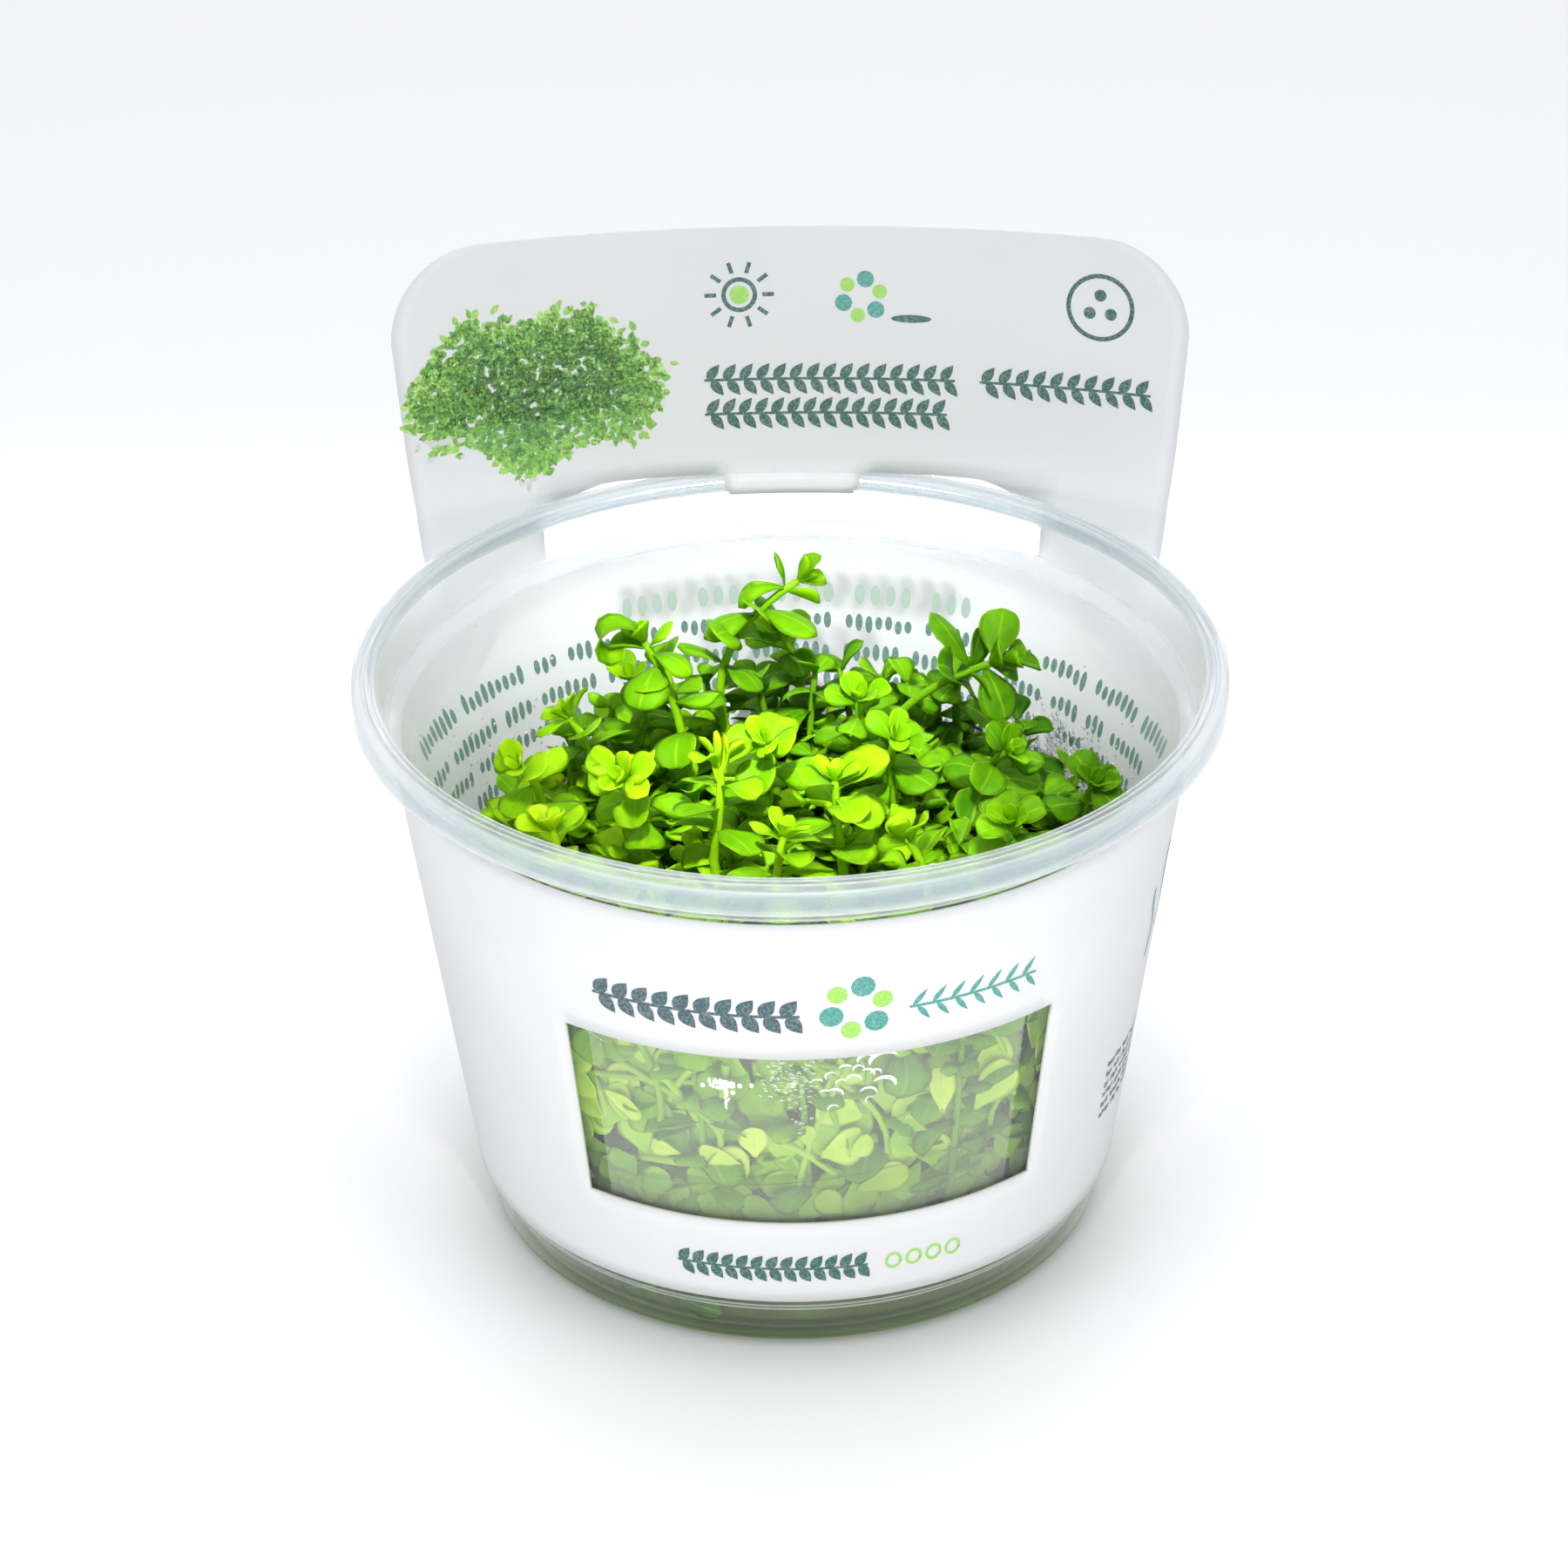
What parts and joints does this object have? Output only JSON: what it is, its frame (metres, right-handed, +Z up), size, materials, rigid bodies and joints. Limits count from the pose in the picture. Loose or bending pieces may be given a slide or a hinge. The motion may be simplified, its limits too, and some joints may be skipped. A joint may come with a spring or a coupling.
{
  "type": "carpet plant in an in-vitro cup",
  "caption": "Low aquarium carpet plant with round paired leaves, rooted in gel in a clear open cup that wears a white card sleeve with a window and a raised header.",
  "frame": {"origin": "middle of the cup's flat base", "axes": "+Z up, out of the cup's mouth; +Y towards the raised header at the back; the window faces -Y"},
  "size_m": [0.101, 0.1024, 0.1015],
  "materials": {
    "clear_plastic": "clear, glossy, slightly milky at the rim",
    "white_card": "coated white card with a satin face",
    "gel": "clear greenish gel",
    "leaf": "fresh leaf, soft satin shine"
  },
  "bodies": {
    "root": {"cup": "clear_plastic", "card_sleeve": "white_card", "nutrient_gel": "gel", "leaf_carpet": "leaf", "sprig_tall": "leaf", "sprig_behind_tall": "leaf", "sprig_curled": "leaf", "sprig_arching": "leaf", "sprig_left_wall": "leaf", "sprig_rosette": "leaf", "sprig_middle": "leaf", "sprig_bright": "leaf", "sprig_slender": "leaf", "sprig_twin": "leaf", "sprig_right": "leaf", "sprig_front": "leaf", "sprig_front_right": "leaf", "sprig_left_back": "leaf", "sprig_middle_back": "leaf", "sprig_far_right": "leaf", "sprig_low_left": "leaf", "sprig_front_left": "leaf", "sprig_right_front": "leaf", "sprig_back_right": "leaf", "sprig_back_left": "leaf", "sprig_front_wall": "leaf"}
  },
  "joints": []
}
